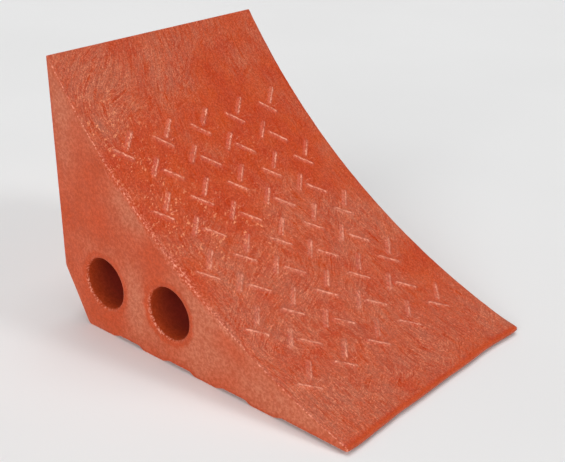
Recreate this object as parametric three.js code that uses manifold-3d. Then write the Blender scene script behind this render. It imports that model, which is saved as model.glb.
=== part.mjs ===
// Wheel chock for trucks and trailers: one wedge of cast polyurethane with a concave, treaded ramp.
// Millimetres, +Z up, +X towards the toe, +Y across the tyre. The origin is on the ground, in the
// middle of the chock's length and width.
import * as THREE from "three";
import { mergeVertices } from "three/addons/utils/BufferGeometryUtils.js";
import Module from "manifold-3d";

const INCH = 25.4;

// The wedge seen from its side: x is counted from the back face, z from the ground.
const WIDTH = 7.75 * INCH;
const LENGTH = 10.3 * INCH;
const TOP_EDGE = 197; // height of the sharp top edge; rounding it off leaves 195.4
const RAMP_RADIUS = 20 * INCH; // follows a tyre about a metre across
const RAMP_STEPS = 24;
const CHAMFER_TOP = 40.5; // the lower back corner is cut off from here
const CHAMFER_FOOT = 22.5; // to here
const TOE_LIP = 3; // height of the blunt face at the toe
const EDGE_RADIUS = 0.7; // along both side faces and round the hole rims
const EDGE_STEPS = 2;
const CORNER_STEPS = 3;

// Radii of the outline's rounded corners.
const TOP_RADIUS = 0.8;
const BACK_RADIUS = 8;
const FOOT_RADIUS = 4;
const TOE_RADIUS = 1.5;

// Two plain holes across the whole width, for a rope, a handle or a linking rod.
const HOLE_RADIUS = 0.75 * INCH;
const HOLE_HEIGHT = 39.4;
const HOLES_FROM_BACK = [43.3, 108.7];
const HOLE_CURVE_SEGMENTS = 20;

// Lands across the underside, with shallow grooves between them. The first land reaches back to the
// chamfer, and the underside stays raised from the last land to the toe.
const LAND_PITCH = 2 * INCH;
const LAND_COUNT = 4;
const FIRST_LAND_END = 50.2;
const LAND_LENGTH = 20.5;
const GROOVE_DEPTH = 2.2; // the toe is raised by as much
const LAND_LEADING_SLOPE = 4; // the side of a land that faces the back
const LAND_TRAILING_SLOPE = 6.5; // the side that faces the toe

// Raised tread bars in pairs, a crossbar and a stem at right angles to it that points at its middle.
// Rows of five pairs alternate with rows of four pairs, whose bars are turned by a quarter turn.
// "along" is counted down the ramp from its top edge, "across" from the -Y side face.
const TREAD = {
  pitchAcross: 36,
  pitchAlong: 50.2,
  rows: [
    { count: 5, pairs: 5, across: 17, along: 83.2, crossbar: 1, stem: [1, -1] },
    { count: 4, pairs: 4, across: 35, along: 98.1, crossbar: -1, stem: [1, 1] },
  ],
};
const BAR_LENGTH = 19.5;
const BAR_RADIUS = 2.9;
const BAR_HEIGHT = 1.3;
const BAR_SIDES = 8;
const BAR_CAP_STEPS = 2;
const STEM_OFFSET = 13.6; // between the middles of a stem and its crossbar
const SURFACE = { color: 0xc84b28, roughness: 0.42, metalness: 0 };

const wasm = await Module();
wasm.setup();

// The ramp is an arc that starts at the top of the back face and ends on the toe lip. Its centre lies
// above the ramp, on the tyre's side.
const rampTop = new THREE.Vector2(0, TOP_EDGE);
const rampEnd = new THREE.Vector2(LENGTH, GROOVE_DEPTH + TOE_LIP);
const chord = rampEnd.clone().sub(rampTop);
const halfAngle = Math.asin(chord.length() / 2 / RAMP_RADIUS);
const rampCentre = rampTop
  .clone()
  .add(rampEnd)
  .multiplyScalar(0.5)
  .addScaledVector(
    new THREE.Vector2(-chord.y, chord.x).normalize(),
    RAMP_RADIUS * Math.cos(halfAngle),
  );
const rampStart = rampTop.clone().sub(rampCentre).angle();

// A point of the ramp's outline at a length along it, and the direction straight out of the surface.
function rampAt(along) {
  const angle = rampStart + along / RAMP_RADIUS;
  const outward = new THREE.Vector2(-Math.cos(angle), -Math.sin(angle));
  return { point: rampCentre.clone().addScaledVector(outward, -RAMP_RADIUS), outward };
}

// The corners of the underside from the chamfer to the toe, land by land.
function undersideCorners() {
  const corners = [{ x: CHAMFER_FOOT, z: 0, radius: FOOT_RADIUS }];
  for (let land = 0; land < LAND_COUNT; land++) {
    const end = FIRST_LAND_END + land * LAND_PITCH;
    if (land > 0) {
      corners.push({ x: end - LAND_LENGTH - LAND_LEADING_SLOPE, z: GROOVE_DEPTH });
      corners.push({ x: end - LAND_LENGTH, z: 0 });
    }
    corners.push({ x: end, z: 0 });
    corners.push({ x: end + LAND_TRAILING_SLOPE, z: GROOVE_DEPTH });
  }
  return corners;
}

function rampCorners() {
  const rampLength = 2 * halfAngle * RAMP_RADIUS;
  const corners = [];
  for (let step = RAMP_STEPS - 1; step > 0; step--) {
    const { point } = rampAt((rampLength * step) / RAMP_STEPS);
    corners.push({ x: point.x, z: point.y });
  }
  return corners;
}

// The points of the arc that rounds off a convex corner and touches both of its sides.
function cornerArc(before, corner, after, radius) {
  const toBefore = before.clone().sub(corner).normalize();
  const toAfter = after.clone().sub(corner).normalize();
  const inside = Math.acos(toBefore.dot(toAfter));
  const toCentre = toBefore.clone().add(toAfter).setLength(radius / Math.sin(inside / 2));
  const centre = corner.clone().add(toCentre);
  const touching = corner.clone().addScaledVector(toBefore, radius / Math.tan(inside / 2));
  const start = touching.sub(centre).angle();
  return Array.from({ length: CORNER_STEPS + 1 }, (_, step) => {
    const angle = start + ((Math.PI - inside) * step) / CORNER_STEPS;
    return centre.clone().add(new THREE.Vector2(Math.cos(angle), Math.sin(angle)).multiplyScalar(radius));
  });
}

// A closed outline, counter-clockwise, in which each corner with a radius is rounded off.
function roundedOutline(corners) {
  const at = (index) => {
    const corner = corners[(index + corners.length) % corners.length];
    return new THREE.Vector2(corner.x, corner.z);
  };
  return corners.flatMap(({ radius }, index) =>
    radius ? cornerArc(at(index - 1), at(index), at(index + 1), radius) : [at(index)],
  );
}

// The wedge with its holes, before the tread bars are added.
function wedgeGeometry() {
  const outline = new THREE.Shape(
    roundedOutline([
      ...undersideCorners(),
      { x: LENGTH, z: GROOVE_DEPTH, radius: TOE_RADIUS },
      { x: rampEnd.x, z: rampEnd.y, radius: TOE_RADIUS },
      ...rampCorners(),
      { x: rampTop.x, z: rampTop.y, radius: TOP_RADIUS },
      { x: 0, z: CHAMFER_TOP, radius: BACK_RADIUS },
    ]),
  );
  for (const fromBack of HOLES_FROM_BACK) {
    outline.holes.push(new THREE.Path().absarc(fromBack, HOLE_HEIGHT, HOLE_RADIUS, 0, 2 * Math.PI, true));
  }
  return new THREE.ExtrudeGeometry(outline, {
    depth: WIDTH - 2 * EDGE_RADIUS,
    bevelThickness: EDGE_RADIUS,
    bevelSize: EDGE_RADIUS,
    bevelOffset: -EDGE_RADIUS,
    bevelSegments: EDGE_STEPS,
    curveSegments: HOLE_CURVE_SEGMENTS,
  })
    .translate(-LENGTH / 2, 0, EDGE_RADIUS - WIDTH / 2)
    .rotateX(Math.PI / 2);
}

// One tread bar: a capsule sunk into the ramp, so that only its crest stands out.
// [leanAcross, leanAlong] is the bar's direction, towards +Y and down the ramp.
function barGeometry(across, along, [leanAcross, leanAlong]) {
  const { point, outward } = rampAt(along);
  const normal = new THREE.Vector3(outward.x, 0, outward.y);
  const downRamp = new THREE.Vector3(outward.y, 0, -outward.x);
  const direction = new THREE.Vector3(0, leanAcross, 0).addScaledVector(downRamp, leanAlong).normalize();
  const middle = new THREE.Vector3(point.x - LENGTH / 2, across - WIDTH / 2, point.y);
  middle.addScaledVector(normal, BAR_HEIGHT - BAR_RADIUS);
  const sideways = new THREE.Vector3().crossVectors(direction, normal);
  const placed = new THREE.Matrix4().makeBasis(sideways, direction, normal).setPosition(middle);
  const straightLength = BAR_LENGTH - 2 * BAR_RADIUS;
  const bar = new THREE.CapsuleGeometry(BAR_RADIUS, straightLength, BAR_CAP_STEPS, BAR_SIDES);
  return bar.applyMatrix4(placed);
}

function barGeometries() {
  const bars = [];
  for (const row of TREAD.rows) {
    for (let line = 0; line < row.count; line++) {
      for (let pair = 0; pair < row.pairs; pair++) {
        const across = row.across + pair * TREAD.pitchAcross;
        const along = row.along + line * TREAD.pitchAlong;
        const [stemAcross, stemAlong] = row.stem.map((lean) => lean * STEM_OFFSET * Math.SQRT1_2);
        bars.push(barGeometry(across, along, [1, row.crossbar]));
        bars.push(barGeometry(across + stemAcross, along + stemAlong, row.stem));
      }
    }
  }
  return bars;
}

function solidOf(geometry) {
  geometry.deleteAttribute("normal");
  geometry.deleteAttribute("uv");
  const merged = mergeVertices(geometry);
  return new wasm.Manifold(
    new wasm.Mesh({
      numProp: 3,
      vertProperties: merged.attributes.position.array,
      triVerts: new Uint32Array(merged.index.array),
    }),
  );
}

function geometryOf(solid) {
  const { vertProperties, triVerts } = solid.getMesh();
  const geometry = new THREE.BufferGeometry();
  geometry.setAttribute("position", new THREE.BufferAttribute(vertProperties, 3));
  geometry.setIndex(new THREE.BufferAttribute(triVerts, 1));
  return geometry;
}

const body = barGeometries()
  .map(solidOf)
  .reduce((joined, bar) => joined.add(bar), solidOf(wedgeGeometry()));
const chockBody = new THREE.Mesh(geometryOf(body), new THREE.MeshStandardMaterial(SURFACE));
chockBody.geometry.computeVertexNormals();
chockBody.name = "chock_body";

const chock = new THREE.Group();
chock.add(chockBody);

export default chock;
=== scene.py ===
import math

import bpy
import numpy as np
from mathutils import Euler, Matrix, Vector, geometry, noise


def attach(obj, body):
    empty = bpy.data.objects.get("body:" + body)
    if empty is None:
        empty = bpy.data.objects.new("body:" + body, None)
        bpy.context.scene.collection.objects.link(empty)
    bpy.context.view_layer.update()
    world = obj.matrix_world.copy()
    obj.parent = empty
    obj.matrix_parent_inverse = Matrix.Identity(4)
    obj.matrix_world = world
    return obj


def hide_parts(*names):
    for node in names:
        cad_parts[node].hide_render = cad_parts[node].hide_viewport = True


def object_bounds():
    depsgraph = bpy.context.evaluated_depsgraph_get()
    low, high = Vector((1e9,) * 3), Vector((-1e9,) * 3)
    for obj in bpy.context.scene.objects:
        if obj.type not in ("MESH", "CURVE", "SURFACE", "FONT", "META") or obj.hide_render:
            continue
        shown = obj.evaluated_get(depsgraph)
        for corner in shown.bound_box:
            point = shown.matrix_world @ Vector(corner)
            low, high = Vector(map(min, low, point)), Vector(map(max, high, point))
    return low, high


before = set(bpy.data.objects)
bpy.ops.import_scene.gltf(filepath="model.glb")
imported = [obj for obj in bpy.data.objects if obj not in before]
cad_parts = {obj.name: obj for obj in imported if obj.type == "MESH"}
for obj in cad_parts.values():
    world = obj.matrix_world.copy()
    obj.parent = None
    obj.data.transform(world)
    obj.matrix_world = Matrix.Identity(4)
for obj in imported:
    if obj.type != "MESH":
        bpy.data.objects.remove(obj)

# A wheel chock cast in one piece from orange-red polyurethane. Its skin is built here as one closed
# mesh: the treaded ramp, the rounded edges, the lands underneath and the two cross holes.
# Shapes are in millimetres: x is counted from the back face, across from the -Y side face, z from
# the ground, and along down the ramp from its top edge. They turn into metres in the CAD frame at
# the very end.
MM = 0.001
INCH = 25.4
cad_low, cad_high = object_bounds()
LENGTH = (cad_high.x - cad_low.x) / MM
WIDTH = (cad_high.y - cad_low.y) / MM

# The wedge's outline.
TOP_EDGE = 197.0
RAMP_RADIUS = 20 * INCH
CHAMFER_TOP = 40.5
CHAMFER_FOOT = 22.5
TOE_LIP = 3.0
GROOVE_DEPTH = 2.2
LAND_PITCH = 2 * INCH
LAND_COUNT = 4
FIRST_LAND_END = 50.2
LAND_LENGTH = 20.5
LAND_LEADING_SLOPE = 4.0
LAND_TRAILING_SLOPE = 6.5
TOP_RADIUS = 0.9
BACK_RADIUS = 8.0
FOOT_RADIUS = 4.0
LAND_RADIUS = 5.0
TOE_RADIUS = 1.3
EDGE_RADIUS = 0.8
TOE_CORNER_RADIUS = 1.6  # seen from above
TOE_REACH = 12.0  # how far up from the toe its edge's shape is felt
TOE_WANDER = 0.8
TOE_WANDER_SIZE = 38.0
TOE_FLARE = 2.5  # how much further the toe reaches at the far side
TOE_FLARE_WIDTH = 45.0

# The cross holes.
HOLE_RADIUS = 0.75 * INCH
HOLE_HEIGHT = 39.4
HOLES_FROM_BACK = (43.3, 108.7)
RIM_RADIUS = 2.3
HOLE_RIPPLE = 0.15
HOLE_RIPPLE_LENGTH = 30.0
HOLE_SIDES = 72
MOUTH_FADE = (-8, 30)  # depths between which the wall turns to the painted shade of the hole, so the rim has some
RIM_HIGHLIGHT_AT = math.radians(215)  # the rims' painted highlight, broken into scuffs, is strongest here, low down at the back

# The tread bars, in pairs of a crossbar and a stem at right angles to it. A bar falls or rises
# towards the far side as one looks up the ramp: its direction is (across, along).
RISING = (1, -1)
FALLING = (1, 1)
TREAD_ACROSS = 36.0
TREAD_ALONG = 50.2
FALLING_PAIRS = 5  # and as many lines of them
FIRST_FALLING = (17.0, 83.2)
RISING_PAIRS = 4
FIRST_RISING = (35.0, 98.1)
BAR_LENGTH = 19.5
BAR_HALF_WIDTH = 2.4
BAR_WIDTH_VARIES = 0.35
BAR_HEIGHT = 0.8
BAR_HEIGHT_VARIES = 0.2
STEM_OFFSET = 13.6
# The painted highlight along a bar's crest: how far off the middle it lies, and how pale it is.
CREST_HIGHLIGHTS = {RISING: (-0.8, 0.82), FALLING: (0.7, 1.15)}
# the size of the patches that make the painted crest highlight brighter and fainter
CREST_HIGHLIGHT_PATCHES = 6.0
RISING_HIGHLIGHT_WEAKER = 0.35  # how much weaker the rising bars' painted highlight is at the foot of the ramp
RISING_FADE = (140, 220)  # places along the ramp where that starts and is complete
FAR_OFF = 4.0  # distances from a line are cut off here

# The low relief of the resin's skin: streaks of frozen flow, and waves some centimetres wide.
STREAK_WIDTH = 3.4
STREAK_LENGTH = 15.0
STREAK_HEIGHT = 0.07
POOL_SIZE = 24.0
POOL_HEIGHT = 0.10
RAMP_CALM = 6.0  # the relief fades out this far from the ramp's ends
BLOCK_WAVE_SIZE = 45.0
BLOCK_WAVE_HEIGHT = 0.22
SIDE_WAVE_SIZE = 40.0
SIDE_WAVE_HEIGHT = 0.18
SIDE_CALM = 12.0
SWIRL_SIZE = 80.0
SWIRL_REACH = 9.0
FAN_SPREAD = 0.6  # how far the streaks spread from each other towards the near side
FAN_LENGTH = 75.0
FAN_FADE = (165, 5)  # places across where the fan has no effect and its full effect
TURNED_PATCH_SIZE = 34.0

# Wear along the ramp's top edge, and a strip of wear and painted highlight along its near side edge.
TOP_EDGE_WEAR = 1.2
EDGE_STRIP_START = (60, 110)  # places along the ramp where the strip is missing and where it is full
EDGE_STRIP_END = (260, 200)
EDGE_STRIP_MIDDLE = 1.0
EDGE_STRIP_REACH = 2.8

# How frosted each face is, as (mean, spread, size of the patches).
RAMP_FROST = (0.42, 0.55, 42.0)
BLOCK_FROST = (0.35, 0.5, 50.0)
SIDE_FROST = (0.35, 0.45, 45.0)
# Where the skin is frosted more or less than elsewhere, as (middle, middle, reach, reach, change):
# across and along on the ramp, x and z on the near side face.
RAMP_BLOOM = [
    (50, 30, 45, 32, 0.45), (125, 55, 50, 30, -0.25), (45, 108, 50, 40, -0.55),
    (150, 105, 50, 45, -0.5), (165, 25, 40, 30, 0.2), (150, 200, 45, 30, 0.3),
    (50, 195, 50, 28, 0.35), (125, 175, 28, 22, 0.35), (30, 262, 35, 35, 0.4),
    (110, 285, 90, 35, 0.42),
]
SIDE_BLOOM = [
    (8, 170, 14, 34, 0.5), (70, 105, 34, 16, 0.45), (76, 38, 9, 24, 0.65), (132, 42, 22, 24, 0.5),
    (175, 18, 45, 18, 0.4), (32, 95, 22, 30, -0.3), (222, 8, 30, 10, 0.35),
]
# Where the ramp's skin is blistered, and where its streaks are turned, in the same way.
BLISTERED = [
    (20, 64, 34, 46, 1.0), (25, 145, 34, 42, 1.0), (78, 165, 34, 30, 0.9), (112, 112, 30, 24, 0.6),
]
TURNED = [(55, 205, 60, 50, 1.1)]

# How finely the mesh follows the shape.
RAMP_STEP = 1
TOE_CLEARANCE = 2
TOP_CLEARANCE = 3
SMOOTH_STEP = 3.5
CORNER_STEPS = 5
EDGE_STEPS = 4
CAP_STEP = 3.5
ROW_SQUEEZE = 0.87  # rows of a triangular lattice lie this much closer than the points in a row
BORDER_GAP = 0.6  # of a step, between the lattice and the border of a side face
HOLE_STEP = 6.0


def smooth(start, end, value):
    """0 before start, 1 after end, and an S-curve between them."""
    t = np.clip((value - start) / (end - start), 0, 1)
    return t * t * (3 - 2 * t)


def fractal(places, size, octaves=3):
    """Fractal noise, about -1 to 1, with features of the given size, at each row of places. A plain
    number in the places only picks a part of the noise, so that each use has its own."""
    values = [noise.fractal(Vector(p), 1.0, 2.0, octaves) for p in places.reshape(-1, 3) / size]
    return np.array(values).reshape(places.shape[:-1])


def stack(*columns):
    """Arrays side by side as rows of coordinates. A plain number fills its column."""
    return np.stack(np.broadcast_arrays(*columns), -1).astype(float)


# --- Outline -------------------------------------------------------------------------------------

ramp_top = np.array([0.0, TOP_EDGE])
ramp_end = np.array([LENGTH, GROOVE_DEPTH + TOE_LIP])
chord = ramp_end - ramp_top
half_angle = math.asin(np.linalg.norm(chord) / 2 / RAMP_RADIUS)
up_from_chord = np.array([-chord[1], chord[0]]) / np.linalg.norm(chord)
ramp_centre = (ramp_top + ramp_end) / 2 + up_from_chord * RAMP_RADIUS * math.cos(half_angle)
ramp_start = math.atan2(*(ramp_top - ramp_centre)[::-1])
ramp_length = 2 * half_angle * RAMP_RADIUS


def ramp_point(along):
    angle = ramp_start + along / RAMP_RADIUS
    return ramp_centre + RAMP_RADIUS * np.array([math.cos(angle), math.sin(angle)])


def underside_corners():
    """(x, z, radius) of the corners under the chock, from the chamfer to the toe."""
    corners = [(CHAMFER_FOOT, 0, FOOT_RADIUS)]
    for land in range(LAND_COUNT):
        end = FIRST_LAND_END + land * LAND_PITCH
        if land > 0:
            corners.append((end - LAND_LENGTH - LAND_LEADING_SLOPE, GROOVE_DEPTH, LAND_RADIUS))
            corners.append((end - LAND_LENGTH, 0, LAND_RADIUS))
        corners.append((end, 0, LAND_RADIUS))
        corners.append((end + LAND_TRAILING_SLOPE, GROOVE_DEPTH, LAND_RADIUS))
    return corners


def corner_arc(before, corner, after, radius):
    """Points on the arc that rounds a corner off, inwards or outwards, and touches both its sides."""
    to_before = (before - corner) / np.linalg.norm(before - corner)
    to_after = (after - corner) / np.linalg.norm(after - corner)
    inside = math.acos(np.clip(to_before @ to_after, -1, 1))
    bisector = to_before + to_after
    centre = corner + bisector / np.linalg.norm(bisector) * radius / math.sin(inside / 2)
    touching = corner + to_before * radius / math.tan(inside / 2)
    start = math.atan2(*(touching - centre)[::-1])
    turn = math.copysign(math.pi - inside, to_after[0] * to_before[1] - to_after[1] * to_before[0])
    angles = start + turn * np.linspace(0, 1, CORNER_STEPS + 1)
    return [centre + radius * np.array([math.cos(a), math.sin(a)]) for a in angles]


def points_between(start, end):
    """The points that split a long straight stretch into short steps."""
    steps = math.ceil(np.linalg.norm(end - start) / SMOOTH_STEP)
    return [start + (end - start) * step / steps for step in range(1, steps)]


def dense_outline():
    """The closed outline, counter-clockwise, and which of its points are on the ramp."""
    corners = [*underside_corners(), (LENGTH, GROOVE_DEPTH, TOE_RADIUS), (*ramp_end, TOE_RADIUS)]
    first_on_ramp = len(corners) - 1
    # The ramp's own points, clear of the rounded corners at its ends.
    ramp_steps = range(int(ramp_length) - TOE_CLEARANCE, TOP_CLEARANCE, -RAMP_STEP)
    corners += [(*ramp_point(along), 0) for along in ramp_steps]
    last_on_ramp = len(corners)
    corners += [(*ramp_top, TOP_RADIUS), (0, CHAMFER_TOP, BACK_RADIUS)]
    points, on_ramp = [], []
    for index, (x, z, radius) in enumerate(corners):
        here = np.array([x, z])
        before = np.array(corners[index - 1][:2])
        after = np.array(corners[(index + 1) % len(corners)][:2])
        new = corner_arc(before, here, after, radius) if radius else [here]
        between = points_between(points[-1], new[0]) if points else []
        points += between + new
        on_ramp += [False] * len(between) + [first_on_ramp <= index <= last_on_ramp] * len(new)
    between = points_between(points[-1], points[0])
    return np.array(points + between), np.array(on_ramp + [False] * len(between))


outline, on_ramp = dense_outline()
step_round = np.roll(outline, -1, 0) - np.roll(outline, 1, 0)
outward = np.stack([step_round[:, 1], -step_round[:, 0]], 1)
outward /= np.linalg.norm(outward, axis=1, keepdims=True)
from_centre = outline - ramp_centre
along_ramp = (np.arctan2(from_centre[:, 1], from_centre[:, 0]) - ramp_start) * RAMP_RADIUS


# --- Relief and skin of the ramp -----------------------------------------------------------------

def tread_bars():
    """(across, along, direction) of the middle of each bar."""
    half = STEM_OFFSET * math.sqrt(0.5)
    bars = []
    for line, pair in np.ndindex(FALLING_PAIRS, FALLING_PAIRS):
        across, along = np.array(FIRST_FALLING) + (pair * TREAD_ACROSS, line * TREAD_ALONG)
        bars += [(across, along, FALLING), (across + half, along - half, RISING)]
    for line, pair in np.ndindex(RISING_PAIRS, RISING_PAIRS):
        across, along = np.array(FIRST_RISING) + (pair * TREAD_ACROSS, line * TREAD_ALONG)
        bars += [(across, along, RISING), (across + half, along + half, FALLING)]
    # A bar's ridge runs through corners of the 1 mm mesh, so that it stays straight.
    return [(round(across), round(along), direction) for across, along, direction in bars]


def bar_relief(across, along):
    """The bars' height over a grid, how far each point is off the nearest bar's painted crest
    highlight, sideways and beyond its end, how bright that highlight is, and which quads are split the
    falling way."""
    height, worn = np.zeros(across.shape), np.zeros(across.shape)
    beside, beyond = np.full(across.shape, FAR_OFF), np.full(across.shape, FAR_OFF)
    nearest, falling = np.full(across.shape, np.inf), np.zeros(across.shape, bool)
    for number, (mid_across, mid_along, direction) in enumerate(tread_bars()):
        lengthways = (across - mid_across) * direction[0] + (along - mid_along) * direction[1]
        sideways = (across - mid_across) * direction[1] - (along - mid_along) * direction[0]
        lengthways = lengthways * math.sqrt(0.5)
        sideways = sideways * math.sqrt(0.5)
        vary = noise.noise(Vector((number * 3.7, 1.3, 0)))
        half_width = BAR_HALF_WIDTH * (1 + BAR_WIDTH_VARIES * vary)
        past_end = np.maximum(np.abs(lengthways) - (BAR_LENGTH / 2 - half_width), 0)
        distance = np.hypot(past_end, sideways) / half_width
        crest = np.cos(np.clip(distance, 0, 1) * math.pi / 2) ** 2
        height = np.maximum(height, BAR_HEIGHT * (1 + BAR_HEIGHT_VARIES * vary) * crest)
        line_place, line_strength = CREST_HIGHLIGHTS[direction]
        patch_places = stack(lengthways / CREST_HIGHLIGHT_PATCHES, number * 5.1, 0)
        patches = 0.85 + 0.75 * fractal(patch_places, 1.0, 1)
        fading = 1 - RISING_HIGHLIGHT_WEAKER * smooth(*RISING_FADE, mid_along) * (direction == RISING)
        closer = distance < nearest
        beside[closer] = np.clip(sideways - line_place, -FAR_OFF, FAR_OFF)[closer]
        beyond[closer] = np.clip(past_end, 0, FAR_OFF)[closer]
        worn[closer] = (line_strength * patches * fading)[closer]
        falling[closer] = direction == FALLING
        nearest = np.minimum(nearest, distance)
    return height, beside, beyond, worn, falling


def zoned(first, second, zones):
    """The sum of the soft-edged zones' changes at each place."""
    total = np.zeros(first.shape)
    for at_first, at_second, reach_first, reach_second, change in zones:
        off = ((first - at_first) / reach_first) ** 2 + ((second - at_second) / reach_second) ** 2
        total += change * np.exp(-off)
    return total


def patchy_frost(places, mean, spread, size):
    """How frosted the skin is, in patches, before its zones are added."""
    return mean + spread * fractal(places, size, 4)


def flow_lines(across, along):
    """Which streak of frozen flow each point is in, and how far along it, in millimetres."""
    swirl = fractal(stack(across + 50, along + 50, 0), SWIRL_SIZE, 2) * SWIRL_REACH
    fan = FAN_SPREAD * smooth(*FAN_FADE, across) * FAN_LENGTH * np.tanh(along / FAN_LENGTH)
    return across + fan + swirl, along + swirl * 0.5


def turned_flow(across, along):
    """1 where the streaks lie along the rising bars, and 0 where they run down the ramp."""
    patches = fractal(stack(across, along, 40), TURNED_PATCH_SIZE, 3)
    return smooth(0.25, 0.4, patches + zoned(across, along, TURNED))


def flow_relief(across, along, streak, down):
    """The low streaks and pools in the resin's skin, in millimetres."""
    rows = stack(streak / STREAK_WIDTH, down / STREAK_LENGTH, 0).reshape(-1, 3)
    ridges = np.array([noise.ridged_multi_fractal(Vector(p), 1.0, 2.0, 3, 1.0, 2.0) for p in rows])
    pools = fractal(stack(across, along, 0), POOL_SIZE)
    return (ridges.reshape(across.shape) - 1.0) * STREAK_HEIGHT + pools * POOL_HEIGHT


# --- Mesh ----------------------------------------------------------------------------------------

class Skin:
    """Vertices in millimetres, with what the material needs to know about each, and faces."""

    # ramp is 1 on the ramp, edge is the pale line of wear and painted highlight along edges, and bloom
    # is how frosted the skin is, or below 0 in a hole, which gets painted shade. turned_flow, BLISTERED
    # and bar_relief say what the others are.
    MARKS = ("ramp", "edge", "bloom", "turned", "blistered", "beside", "beyond", "worn")

    def __init__(self):
        self.points, self.faces, self.flow = [], [], []
        self.marks = {name: [] for name in self.MARKS}

    def add(self, points, flow=0.0, **marks):
        """Adds an array of points, and gives back their numbers in the same arrangement."""
        shape = points.shape[:-1]
        first = sum(len(block) for block in self.points)
        self.points.append(points.reshape(-1, 3))
        self.flow.append(np.broadcast_to(flow, points.shape).reshape(-1, 3))
        for name in self.MARKS:
            self.marks[name].append(np.broadcast_to(marks.get(name, 0.0), shape).reshape(-1))
        return np.arange(first, first + math.prod(shape)).reshape(shape)

    def quads(self, a, b, c, d):
        self.faces += np.stack([a, b, c, d], -1).reshape(-1, 4).tolist()

    def triangles(self, a, b, c):
        self.faces += np.stack([a, b, c], -1).reshape(-1, 3).tolist()

    def zip_rows(self, first, first_at, second, second_at):
        """Fills the strip between two rows of vertices that are spaced differently."""
        i = j = 0
        while i < len(first) - 1 or j < len(second) - 1:
            first_left = i < len(first) - 1
            if j == len(second) - 1 or (first_left and first_at[i + 1] <= second_at[j + 1]):
                self.faces.append([first[i], first[i + 1], second[j]])
                i += 1
            else:
                self.faces.append([first[i], second[j + 1], second[j]])
                j += 1

    def mesh(self, name):
        """The whole skin as a mesh, in metres in the CAD frame, with its marks as attributes."""
        mesh = bpy.data.meshes.new(name)
        in_frame = (np.concatenate(self.points) - [LENGTH / 2, WIDTH / 2, 0]) * MM
        mesh.from_pydata(in_frame.tolist(), [], self.faces)
        flow = np.concatenate(self.flow).astype(np.float32)
        mesh.attributes.new("flow", "FLOAT_VECTOR", "POINT").data.foreach_set("vector", flow.ravel())
        for mark, parts in self.marks.items():
            values = np.concatenate(parts).astype(np.float32)
            mesh.attributes.new(mark, "FLOAT", "POINT").data.foreach_set("value", values)
        mesh.shade_smooth()
        return mesh


def columns(inner):
    """Columns of vertices across the chock: (across, inset from the outline, turn towards the side)."""
    turn = np.linspace(math.pi / 2, 0, EDGE_STEPS + 1)[:-1]
    near = EDGE_RADIUS * (1 - np.sin(turn))
    inset = EDGE_RADIUS * (1 - np.cos(turn))
    blank = np.zeros(len(inner))
    across = np.concatenate([near, inner, WIDTH - near[::-1]])
    insets = np.concatenate([inset, blank, inset[::-1]])
    turns = np.concatenate([-turn, blank, turn[::-1]])
    return across, insets, turns


def sweep(rows, inner, relief):
    """The outline's given rows carried across the width, lifted by the relief along the surface."""
    across, inset, turn = columns(inner)
    place = outline[rows][:, None, :] - outward[rows][:, None, :] * inset[:, None]
    place = place + outward[rows][:, None, :] * (np.cos(turn) * relief)[:, :, None]
    spread = across + np.sin(turn) * relief
    return stack(place[:, :, 0], spread, place[:, :, 1])


def edge_mark(turn):
    """1 in the middle of a rounded side edge and 0 on both faces beside it."""
    return np.sin(np.abs(turn) * 2)


def ramp_edge_mark(across, along, turn):
    """The same on the ramp, where the line along its rounded side edges is a painted highlight, with
    its top edge and a strip of wear and painted highlight along its near side edge, which comes and
    goes and has a speckle of its own."""
    on_top_edge = np.exp(-np.abs(along) / TOP_EDGE_WEAR)
    scuffs_and_highlight = 0.6 + 0.6 * fractal(stack(along, 0, 3), 30.0, 2)
    scuffs_and_highlight = scuffs_and_highlight * smooth(*EDGE_STRIP_START, along) * smooth(*EDGE_STRIP_END, along)
    near_edge = 0.95 + 0.8 * fractal(stack(along, across, 5), 7.0, 2)
    near_edge = near_edge * scuffs_and_highlight * np.exp(-((across - EDGE_STRIP_MIDDLE) / EDGE_STRIP_REACH) ** 2)
    return np.maximum(np.maximum(edge_mark(turn), on_top_edge), near_edge)


def add_ramp(skin):
    """The ramp. Gives back its grid of vertices, and the places of the columns across."""
    rows = np.flatnonzero(on_ramp)
    lattice = np.arange(2, math.floor(WIDTH) - 1, RAMP_STEP)
    inner = np.concatenate([[EDGE_RADIUS], lattice, [WIDTH - EDGE_RADIUS]])
    across_row, _, turn = columns(inner)
    across, along = np.meshgrid(across_row, along_ramp[rows])
    bars, beside, beyond, worn, falling = bar_relief(across, along)
    streak, down = flow_lines(across, along)
    calm = smooth(0, RAMP_CALM, along) * smooth(ramp_length, ramp_length - RAMP_CALM, along)
    relief = (bars + flow_relief(across, along, streak, down)) * calm
    frost = patchy_frost(stack(across, along, 7), *RAMP_FROST) + zoned(across, along, RAMP_BLOOM)
    # The look of the ramp ends just before the toe's lip, which is bare resin.
    grid = skin.add(
        sweep(rows, inner, relief),
        flow=stack(streak, down, 0),
        ramp=smooth(1.2, 0.4, np.abs(turn)) * smooth(ramp_length, ramp_length - 3, along),
        beside=beside,
        beyond=beyond,
        worn=worn,
        edge=ramp_edge_mark(across, along, turn),
        bloom=np.clip(frost, 0, 1) * smooth(ramp_length - 1, ramp_length - 5, along),
        turned=turned_flow(across, along),
        blistered=np.clip(zoned(across, along, BLISTERED), 0, 1),
    )
    a, b, c, d = grid[:-1, :-1], grid[:-1, 1:], grid[1:, 1:], grid[1:, :-1]
    # Rows run from the toe to the top, so a bar that falls towards the toe lies along b-d.
    split_bd = falling[:-1, :-1]
    skin.triangles(a[split_bd], b[split_bd], d[split_bd])
    skin.triangles(b[split_bd], c[split_bd], d[split_bd])
    skin.triangles(a[~split_bd], c[~split_bd], d[~split_bd])
    skin.triangles(a[~split_bd], b[~split_bd], c[~split_bd])
    return grid, across_row


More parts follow.
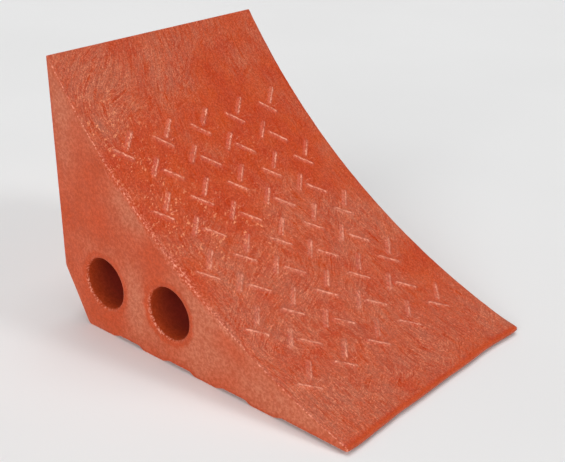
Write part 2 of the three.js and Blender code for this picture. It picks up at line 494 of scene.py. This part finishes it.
def add_block(skin):
    """The back face, the chamfer and the underside. Gives back the same as add_ramp."""
    first = np.flatnonzero(on_ramp)[-1] + 1
    rows = np.arange(first, first + np.count_nonzero(~on_ramp)) % len(outline)
    count = math.ceil((WIDTH - 2 * EDGE_RADIUS) / SMOOTH_STEP)
    inner = np.linspace(EDGE_RADIUS, WIDTH - EDGE_RADIUS, count)
    across, _, turn = columns(inner)
    places = stack(outline[rows][:, None, 0], across, outline[rows][:, None, 1])
    relief = fractal(places, BLOCK_WAVE_SIZE) * BLOCK_WAVE_HEIGHT
    frost = patchy_frost(places + 300, *BLOCK_FROST)
    grid = skin.add(sweep(rows, inner, relief), edge=edge_mark(turn), bloom=np.clip(frost, 0, 1))
    skin.quads(grid[:-1, :-1], grid[:-1, 1:], grid[1:, 1:], grid[1:, :-1])
    return grid, across


def add_hole(skin, from_back):
    """A hole's wall with its two rounded rims. Gives back the rims' numbers on both side faces."""
    turn = np.linspace(0, math.pi / 2, EDGE_STEPS + 1)
    rim_depth = RIM_RADIUS * (1 - np.cos(turn))
    rim_flare = RIM_RADIUS * (1 - np.sin(turn))
    wall = np.linspace(RIM_RADIUS, WIDTH - RIM_RADIUS, math.ceil(WIDTH / HOLE_STEP))[1:-1]
    depth = np.concatenate([rim_depth, wall, WIDTH - rim_depth[::-1]])[:, None]
    flare = np.concatenate([rim_flare, np.zeros(len(wall)), rim_flare[::-1]])[:, None]
    angle = np.arange(HOLE_SIDES) * 2 * math.pi / HOLE_SIDES
    inwards = depth / HOLE_RIPPLE_LENGTH
    ripple = fractal(stack(np.cos(angle) + from_back, inwards, np.sin(angle)), 1.0, 2)
    radius = HOLE_RADIUS + flare + ripple * HOLE_RIPPLE * np.sin(depth / WIDTH * math.pi)
    points = stack(from_back + radius * np.cos(angle), depth, HOLE_HEIGHT + radius * np.sin(angle))
    from_side = np.minimum(depth, WIDTH - depth)
    on_rim = np.sin(np.clip(from_side / RIM_RADIUS, 0, 1) * math.pi)
    # The rims get a painted highlight, broken into scuffs and strongest low down at the back.
    scuffs_and_highlight = 0.4 + 0.9 * smooth(0.2, 1.0, np.cos(angle - RIM_HIGHLIGHT_AT))
    # A bloom below 0 tells the material that the place is inside a hole, whose wall it paints in shade,
    # deeper inwards.
    inside = smooth(*MOUTH_FADE, from_side)
    grid = skin.add(points, edge=on_rim * scuffs_and_highlight, bloom=-inside)
    after = np.roll(grid, -1, 1)
    skin.quads(grid[:-1], after[:-1], after[1:], grid[1:])
    return grid[0], grid[-1]


def inside_loop(x, z, loop):
    """Whether a place is inside a closed loop of (x, z) points."""
    after = np.roll(loop, -1, 0)
    crosses = (loop[:, 1] > z) != (after[:, 1] > z)
    rise = (z - loop[crosses, 1]) / (after[crosses, 1] - loop[crosses, 1])
    crossing_x = loop[crosses, 0] + rise * (after[crosses, 0] - loop[crosses, 0])
    return np.count_nonzero(crossing_x > x) % 2 == 1


def cap_spots(border):
    """Evenly spread (x, z) places inside the side face, clear of its border and of the holes, and how
    far each is from the border."""
    row_heights = np.arange(0, TOP_EDGE, CAP_STEP * ROW_SQUEEZE)
    xs, zs = np.meshgrid(np.arange(0, LENGTH, CAP_STEP), row_heights)
    xs = xs + (np.arange(len(zs)) % 2)[:, None] * CAP_STEP / 2
    spots = stack(xs, zs).reshape(-1, 2)
    to_border = np.array([np.hypot(*(border - spot).T).min() for spot in spots])
    gap = CAP_STEP * BORDER_GAP
    keep = np.array([inside_loop(x, z, border) for x, z in spots]) & (to_border > gap)
    for from_back in HOLES_FROM_BACK:
        to_hole = np.hypot(spots[:, 0] - from_back, spots[:, 1] - HOLE_HEIGHT)
        keep &= to_hole > HOLE_RADIUS + RIM_RADIUS + gap
    return spots[keep], to_border[keep]


def add_cap(skin, side, ring, rims):
    """A side face: a fine, nearly flat mesh between the outline's ring and the rims of the holes."""
    border = np.concatenate([ring, *rims])
    flat = np.concatenate(skin.points)[border][:, [0, 2]]
    edges, first = [], 0
    for loop in (ring, *rims):
        numbers = np.arange(first, first + len(loop))
        edges += np.stack([numbers, np.roll(numbers, -1)], 1).tolist()
        first += len(loop)
    spots, to_border = cap_spots(flat[: len(ring)])
    places = stack(spots[:, 0], side * 9.0, spots[:, 1])
    rise = SIDE_WAVE_HEIGHT * fractal(places, SIDE_WAVE_SIZE) * smooth(0, SIDE_CALM, to_border)
    frost = patchy_frost(places + 500, *SIDE_FROST)
    if side < 0:
        frost += zoned(spots[:, 0], spots[:, 1], SIDE_BLOOM)
    across = WIDTH / 2 + side * (WIDTH / 2 + rise)
    inner = skin.add(stack(spots[:, 0], across, spots[:, 1]), bloom=np.clip(frost, 0, 1))
    numbers = np.concatenate([border, inner])
    corners = [Vector(p) for p in np.concatenate([flat, spots]).tolist()]
    result = geometry.delaunay_2d_cdt(corners, edges, [], 1, 1e-6)
    faces, origin = result[2], result[3]
    rim_sets = [set(rim.tolist()) for rim in rims]
    for face in faces:
        face_numbers = [int(numbers[origin[v][0]]) for v in face]
        if not any(rim.issuperset(face_numbers) for rim in rim_sets):
            skin.faces.append(face_numbers if side < 0 else face_numbers[::-1])


def wear_toe(points):
    """Rounds the toe's two corners seen from above, and lets its edge wander as a cast edge does."""
    x, across = points[:, 0], points[:, 1]
    near_toe = smooth(LENGTH - TOE_REACH, LENGTH, x)
    from_side = np.clip(np.minimum(across, WIDTH - across), 0, TOE_CORNER_RADIUS)
    drop = TOE_CORNER_RADIUS - np.sqrt(TOE_CORNER_RADIUS**2 - (TOE_CORNER_RADIUS - from_side) ** 2)
    wander = fractal(stack(across, 0, 0), TOE_WANDER_SIZE, 2) * TOE_WANDER
    flare = TOE_FLARE * smooth(WIDTH - TOE_FLARE_WIDTH, WIDTH, across)
    points[:, 0] = x + near_toe * (wander + flare - drop)


def cast_skin():
    """The chock's whole closed skin as a mesh."""
    skin = Skin()
    ramp, ramp_across = add_ramp(skin)
    block, block_across = add_block(skin)
    skin.zip_rows(ramp[-1], ramp_across, block[0], block_across)
    skin.zip_rows(block[-1], block_across, ramp[0], ramp_across)
    near_rims, far_rims = zip(*[add_hole(skin, from_back) for from_back in HOLES_FROM_BACK])
    add_cap(skin, -1, np.concatenate([ramp[:, 0], block[:, 0]]), near_rims)
    add_cap(skin, 1, np.concatenate([ramp[:, -1], block[:, -1]]), far_rims)
    for block_of_points in skin.points:
        wear_toe(block_of_points)
    return skin.mesh("cast_body")


# --- Materials -----------------------------------------------------------------------------------

class Shader:
    """A material, and short ways to add nodes to it and wire them up."""

    def __init__(self, name):
        self.material = bpy.data.materials.new(name)
        self.material.use_nodes = True
        self.tree = self.material.node_tree
        self.tree.nodes.clear()

    def add(self, kind, inputs=(), output=0, **settings):
        """Adds a node. Its inputs are values, or other nodes' outputs. Gives back one output."""
        node = self.tree.nodes.new("ShaderNode" + kind)
        for key, value in settings.items():
            setattr(node, key, value)
        for key, value in dict(inputs).items():
            if isinstance(value, bpy.types.NodeSocket):
                self.tree.links.new(value, node.inputs[key])
            else:
                node.inputs[key].default_value = value
        return node.outputs[output] if len(node.outputs) else None

    def mark(self, name, output="Fac"):
        """One of the mesh's attributes."""
        return self.add("Attribute", output=output, attribute_name=name)

    def sum(self, *terms):
        return self.fold("ADD", terms)

    def times(self, *terms):
        return self.fold("MULTIPLY", terms)

    def fold(self, operation, terms):
        total = terms[0]
        for term in terms[1:]:
            total = self.add("Math", {0: total, 1: term}, operation=operation)
        return total

    def less(self, whole, part):
        return self.add("Math", {0: whole, 1: part}, operation="SUBTRACT")

    def scaled(self, place, scale):
        return self.add("VectorMath", {0: place, 1: scale}, operation="MULTIPLY")

    def noise(self, place, scale, detail=2.0, roughness=0.5, output="Fac"):
        values = {"Vector": place, "Scale": scale, "Detail": detail, "Roughness": roughness}
        return self.add("TexNoise", values, output)

    def ease(self, value, low, high, at_low=0.0, at_high=1.0):
        """An S-curve from at_low, where the value is low, to at_high, where it is high."""
        values = {"Value": value, "From Min": low, "From Max": high}
        values.update({"To Min": at_low, "To Max": at_high})
        return self.add("MapRange", values, interpolation_type="SMOOTHSTEP")

    def blend(self, factor, first, second):
        return self.add("Mix", {0: factor, 2: first, 3: second}, data_type="FLOAT")

    def tint(self, factor, first, second):
        return self.add("Mix", {0: factor, 6: first, 7: second}, output=2, data_type="RGBA")

    def finish(self, **values):
        named = {key.replace("_", " "): value for key, value in values.items()}
        surface = self.add("BsdfPrincipled", named)
        self.add("OutputMaterial", {"Surface": surface})
        return self.material


# Linear colours. The ramp is orange resin under a greyer haze and pale frost, and each side face has
# a body and a haze of its own.
DEEP_ORANGE = (0.51, 0.036, 0.002, 1)
ORANGE = (0.57, 0.060, 0.005, 1)
HAZE = (0.405, 0.118, 0.068, 1)
FROST = (0.73, 0.228, 0.122, 1)
SIDE_BODY = (0.505, 0.052, 0.002, 1)
SIDE_HAZE = (0.58, 0.178, 0.092, 1)
# painted shade inside the holes, deeper inwards
HOLE_SHADE = (0.27, 0.018, 0.007, 1)
# a glint painted on the blisters
BLISTER_GLINT = (0.95, 0.32, 0.15, 1)
# painted highlight on the bars' crests, and wear with painted highlight on the edges
HIGHLIGHT_AND_WEAR = (1.0, 0.40, 0.27, 1)

# The scales per millimetre, across and along the flow, of the haze and of the streaks, and how the
# streaks are turned to lie along the rising bars.
CLOUD_SCALE = (0.20, 0.055, 1.0)
STREAK_SCALE = (0.42, 0.055, 1.0)
STREAK_TURN = math.radians(-45)
# The blisters' scale across and along the rising bars, which they are drawn out along, and how far
# their outlines wobble, in millimetres.
BLISTER_SCALE = (0.45, 0.21, 1.0)
BLISTER_WOBBLE = 2.5


def flow_streaks(shader, flow, turned_place, turned):
    """Long fine streaks that follow the flow, or lie across it where it is turned."""
    layers = []
    for place in (flow, turned_place):
        values = {"Vector": shader.scaled(place, STREAK_SCALE), "Scale": 1.0, "Detail": 3.0,
                  "Roughness": 0.68, "Distortion": 0.4}
        layers.append(shader.add("TexNoise", values))
    return shader.blend(turned, *layers)


def blister_spots(shader, body, turned_place, blistered):
    """Blisters of uneven size, in patches of the barely frosted stretches."""
    wobble = shader.noise(body, 0.5, detail=1.0, output="Color")
    wobble = shader.scaled(wobble, (BLISTER_WOBBLE, BLISTER_WOBBLE, BLISTER_WOBBLE))
    wobbly = shader.add("VectorMath", {0: turned_place, 1: wobble}, operation="ADD")
    drawn_out = shader.scaled(wobbly, BLISTER_SCALE)
    to_middle = shader.add("TexVoronoi", {"Vector": drawn_out, "Scale": 1.0}, "Distance")
    reach = shader.ease(shader.noise(drawn_out, 1.0, detail=0.0), 0.35, 0.65, 0.16, 0.46)
    rise = shader.less(1.0, shader.fold("DIVIDE", (to_middle, reach)))
    patches = shader.ease(shader.noise(body, 0.11, detail=3.0), 0.37, 0.53)
    return shader.times(shader.ease(rise, 0.0, 0.6), blistered, patches, 0.85)


def paint_crest_highlights(shader, body, beside, beyond, worn):
    """A bar's painted crest highlight, with a ragged outline, broken into beads, in a faint wider band.
    """
    ragged = shader.noise(body, 0.6, detail=2.0, roughness=0.6)
    sideways = shader.sum(beside, shader.times(shader.less(ragged, 0.5), 3.0))
    squared = shader.sum(shader.times(sideways, sideways), shader.times(beyond, beyond))
    off_line = shader.add("Math", {0: squared}, operation="SQRT")
    beads = shader.noise(body, 0.50, detail=2.0, roughness=0.7)
    beads = shader.ease(beads, 0.40, 0.58, 0.10, 1.35)
    line = shader.times(shader.ease(off_line, 1.0, 0.3), worn, beads)
    band = shader.times(shader.ease(off_line, 2.2, 0.6), worn, 0.14)
    return shader.sum(line, band)


def urethane():
    """The cast resin. Noise scales are per millimetre."""
    shader = Shader("cast_urethane")
    ramp, edge, bloom, turned, blistered, beside, beyond, worn = map(shader.mark, Skin.MARKS)
    flow = shader.mark("flow", "Vector")
    body = shader.scaled(shader.add("TexCoord", output="Object"), (1 / MM, 1 / MM, 1 / MM))
    turning = {"Vector": flow, "Angle": STREAK_TURN}
    turned_place = shader.add("VectorRotate", turning, rotation_type="Z_AXIS")

    # What the skin is made of: streaks, a grain of about a millimetre, finer grit, coarser mottling
    # and slow changes of tone.
    streaks = flow_streaks(shader, flow, turned_place, turned)
    grain = shader.noise(body, 0.9, detail=2.0, roughness=0.7)
    grit = shader.noise(body, 0.7, detail=3.0, roughness=0.85)
    mottle = shader.ease(shader.noise(body, 0.45, detail=4.0, roughness=0.75), 0.32, 0.70)
    tone = shader.ease(shader.noise(body, 0.05, detail=4.0, roughness=0.6), 0.3, 0.7)
    blisters = shader.times(blister_spots(shader, body, turned_place, blistered), ramp)

    # The ramp: haze drawn out along the flow, and over it frost, as specks and as fine threads along
    # the streaks' contours.
    frosted = shader.ease(bloom, 0.0, 1.0, 0.15, 0.95)
    clouds = shader.noise(shader.scaled(flow, CLOUD_SCALE), 1.0, detail=5.0, roughness=0.75)
    clouds = shader.ease(shader.sum(shader.times(streaks, 0.4), clouds), 0.40, 0.94)
    haze = shader.times(clouds, frosted, ramp, 0.85)
    off_contour = shader.add("Math", {0: shader.less(streaks, 0.5)}, operation="ABSOLUTE")
    threads = shader.times(
        shader.ease(off_contour, 0.04, 0.0), shader.ease(grain, 0.36, 0.54, 0.25, 1.0)
    )
    speckle = shader.ease(grain, 0.52, 0.66)
    frost = shader.sum(shader.times(threads, 0.9), shader.times(speckle, 0.36))
    frost = shader.sum(
        shader.times(frost, frosted, ramp), shader.times(shader.ease(grit, 0.42, 0.66), ramp, 0.11)
    )
    colour = shader.tint(tone, DEEP_ORANGE, ORANGE)
    colour = shader.tint(haze, colour, HAZE)
    colour = shader.tint(frost, colour, FROST)

    # Every other face, with the walls of the holes, where the bloom is below 0 and painted shade
    # darkens the wall inwards.
    in_hole = shader.ease(bloom, 0.0, -1.0)
    bloomed = shader.ease(bloom, 0.1, 1.0, 0.0, 0.85)
    side_haze = shader.sum(
        shader.times(bloomed, shader.ease(mottle, 0.0, 1.0, 0.45, 1.0)),
        shader.times(mottle, 0.08),
        shader.times(shader.ease(grit, 0.36, 0.64), 0.11),
    )
    side = shader.tint(side_haze, shader.tint(tone, SIDE_BODY, ORANGE), SIDE_HAZE)
    side = shader.tint(in_hole, side, HOLE_SHADE)
    colour = shader.tint(shader.less(1.0, ramp), colour, side)

    # The fine pits and pimples of the skin: over its grain, their shade and glints are painted in as
    # darker and lighter colour.
    side_grit = shader.sum(shader.times(grit, 0.6), shader.times(mottle, 0.4))
    side_grit = shader.ease(side_grit, 0.30, 0.70, 0.88, 1.10)
    ramp_grit = shader.sum(shader.times(grit, 0.85), shader.times(streaks, 0.15))
    ramp_grit = shader.ease(ramp_grit, 0.36, 0.64, 0.79, 1.18)
    brightness = shader.blend(ramp, side_grit, ramp_grit)
    colour = shader.add("VectorMath", {0: colour, "Scale": brightness}, operation="SCALE")

    # Blisters painted pale as glints, painted highlights on the bars' crests, and wear with painted
    # highlight on the edges.
    colour = shader.tint(blisters, colour, BLISTER_GLINT)
    edge_breaks = shader.ease(shader.noise(body, 0.7, detail=3.0, roughness=0.6), 0.46, 0.62)
    highlights_and_wear = paint_crest_highlights(shader, body, beside, beyond, worn)
    highlights_and_wear = shader.sum(shader.times(edge, edge_breaks, 0.7), highlights_and_wear)
    colour = shader.tint(highlights_and_wear, colour, HIGHLIGHT_AND_WEAR)

    side_rough = shader.ease(shader.noise(body, 0.15, detail=3.0), 0.3, 0.7, 0.44, 0.56)
    ramp_rough = shader.ease(clouds, 0.0, 1.0, 0.26, 0.42)
    roughness = shader.blend(ramp, side_rough, ramp_rough)
    roughness = shader.blend(in_hole, roughness, 0.95)

    ramp_height = shader.sum(
        shader.times(streaks, 0.4), shader.times(grit, 0.9), shader.times(blisters, 0.6)
    )
    height = shader.blend(ramp, shader.times(grit, 0.6), ramp_height)
    bump = shader.add("Bump", {"Height": height, "Strength": 1.0, "Distance": 0.25 * MM})
    return shader.finish(Base_Color=colour, Roughness=roughness, Normal=bump, Specular_IOR_Level=0.3)


def pale_floor():
    shader = Shader("pale_floor")
    paper = shader.ease(shader.noise(shader.add("TexCoord", output="Object"), 3.0), 0.3, 0.7)
    colour = shader.tint(paper, (0.85, 0.85, 0.85, 1), (0.87, 0.87, 0.87, 1))
    return shader.finish(Base_Color=colour, Roughness=0.8)


# --- Scene ---------------------------------------------------------------------------------------

FLOOR_REACH = 8.0  # metres


def show(name, data):
    thing = bpy.data.objects.new(name, data)
    bpy.context.scene.collection.objects.link(thing)
    return thing


def add_camera():
    """The photograph's view, from a perspective fit of the chock's outline, holes and tread."""
    data = bpy.data.cameras.new("camera")
    data.sensor_width = 36.0
    data.lens = 64.13
    data.shift_y = 0.046
    camera = show("camera", data)
    camera.location = Vector((419.75, -491.14, 366.48)) * MM
    camera.rotation_euler = Euler([math.radians(angle) for angle in (64.16, -0.385, 41.176)])
    bpy.context.scene.camera = camera


def add_sun(name, direction, width, strength):
    """A distant light of the given angular width, that shines from the given direction."""
    data = bpy.data.lights.new(name, "SUN")
    data.angle = math.radians(width)
    data.energy = strength
    show(name, data).rotation_euler = Vector(direction).to_track_quat("Z", "Y").to_euler()


def add_world():
    """A pale cove all round, that gets darker overhead."""
    world = bpy.data.worlds.new("studio")
    world.use_nodes = True
    nodes, links = world.node_tree.nodes, world.node_tree.links
    place = nodes.new("ShaderNodeTexCoord")
    split = nodes.new("ShaderNodeSeparateXYZ")
    fade = nodes.new("ShaderNodeMapRange")
    fade.interpolation_type = "SMOOTHSTEP"
    for key, value in {"From Min": 0.05, "From Max": 0.5, "To Min": 0.84, "To Max": 0.10}.items():
        fade.inputs[key].default_value = value
    links.new(place.outputs["Generated"], split.inputs[0])
    links.new(split.outputs["Z"], fade.inputs["Value"])
    links.new(fade.outputs[0], nodes["Background"].inputs["Strength"])
    nodes["Background"].inputs["Color"].default_value = (1, 1, 1, 1)
    bpy.context.scene.world = world


def add_light():
    add_sun("key", (0.28, -0.85, 0.46), 35, 1.40)
    add_sun("overhead", (-0.10, 0.10, 1.0), 50, 1.46)
    add_sun("glint", (0.77, 0.28, 0.60), 12, 0.57)


def add_floor():
    mesh = bpy.data.meshes.new("floor")
    far = FLOOR_REACH
    corners = [(-far, -far, 0), (far, -far, 0), (far, far, 0), (-far, far, 0)]
    mesh.from_pydata(corners, [], [(0, 1, 2, 3)])
    mesh.materials.append(pale_floor())
    show("floor", mesh)


add_camera()
add_floor()
add_world()
add_light()
bpy.context.scene.view_settings.view_transform = "Standard"

chock = show("cast_body", cast_skin())
chock.data.materials.append(urethane())
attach(chock, "root")
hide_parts("chock_body")
